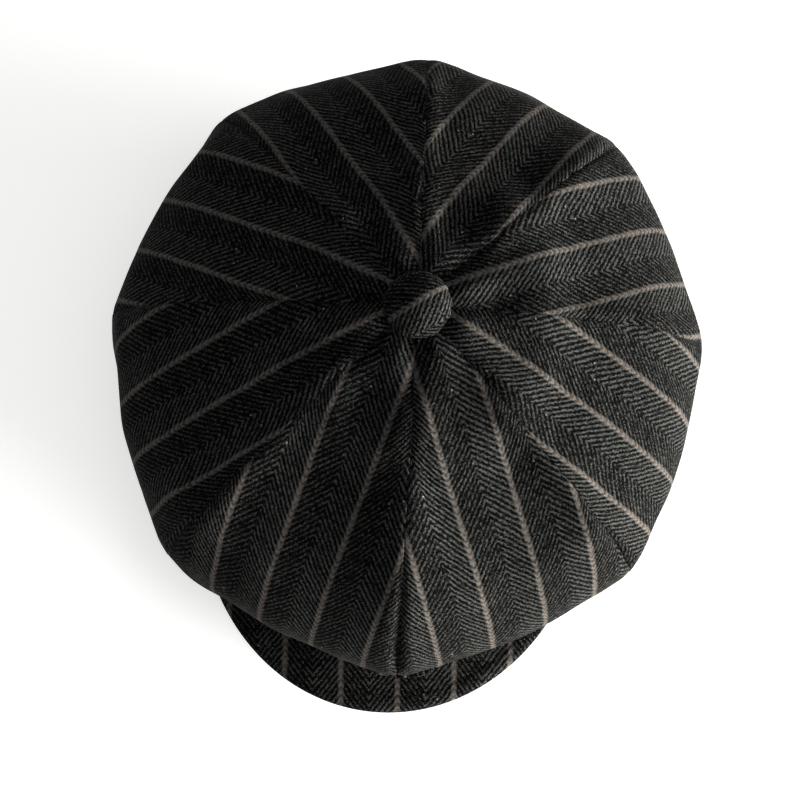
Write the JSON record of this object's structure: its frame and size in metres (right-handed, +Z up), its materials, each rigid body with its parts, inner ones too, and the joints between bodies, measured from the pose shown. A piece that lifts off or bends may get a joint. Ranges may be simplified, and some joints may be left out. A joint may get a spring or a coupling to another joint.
{
  "type": "newsboy cap",
  "caption": "Soft wool newsboy cap: wedge panels gathered to a narrow band, a short stiff peak in front, a covered button on top, lined inside.",
  "frame": {"origin": "on the surface that the cap stands on, under the middle of its box; the head opening's centre is 5.5 mm behind it", "axes": "+Z up along the head opening's axis; the peak points along -Y; +X is the side on the right when the peak points at the viewer"},
  "size_m": [0.26, 0.293, 0.1215],
  "materials": {
    "wool_herringbone": "charcoal herringbone wool with tan-grey pinstripes",
    "satin_lining": "smooth satin",
    "sweatband_ribbon": "ribbed grosgrain ribbon",
    "buckram": "stiffened open cotton weave",
    "peak_board": "matt polyethylene board",
    "button_metal": "pressed sheet",
    "woven_label": "blank woven ribbon"
  },
  "bodies": {
    "cap": {"crown_panel_front_right": "wool_herringbone", "crown_panel_right_front": "wool_herringbone", "crown_panel_right_back": "wool_herringbone", "crown_panel_back_right": "wool_herringbone", "crown_panel_back_left": "wool_herringbone", "crown_panel_left_back": "wool_herringbone", "crown_panel_left_front": "wool_herringbone", "crown_panel_front_left": "wool_herringbone", "outer_band": "wool_herringbone", "band_stiffener": "buckram", "sweatband": "sweatband_ribbon", "lining_panel_front_right": "satin_lining", "lining_panel_right_front": "satin_lining", "lining_panel_right_back": "satin_lining", "lining_panel_back_right": "satin_lining", "lining_panel_back_left": "satin_lining", "lining_panel_left_back": "satin_lining", "lining_panel_left_front": "satin_lining", "lining_panel_front_left": "satin_lining", "button_cover": "wool_herringbone", "button_shell": "button_metal", "button_back_plate": "button_metal", "button_shank": "button_metal", "button_washer": "button_metal", "lining_patch": "woven_label", "size_tab": "woven_label"},
    "peak": {"peak_top_cover": "wool_herringbone", "peak_board": "peak_board", "peak_under_cover": "wool_herringbone"}
  },
  "joints": [
    {"name": "peak_flex", "type": "hinge", "parent": "cap", "child": "peak", "pos_m": [0, -0.0845, 0.003], "axis": [1, 0, 0], "range_deg": [0, 8], "stiffness_Nm_per_rad": 1, "springref_deg": -2.86}
  ]
}
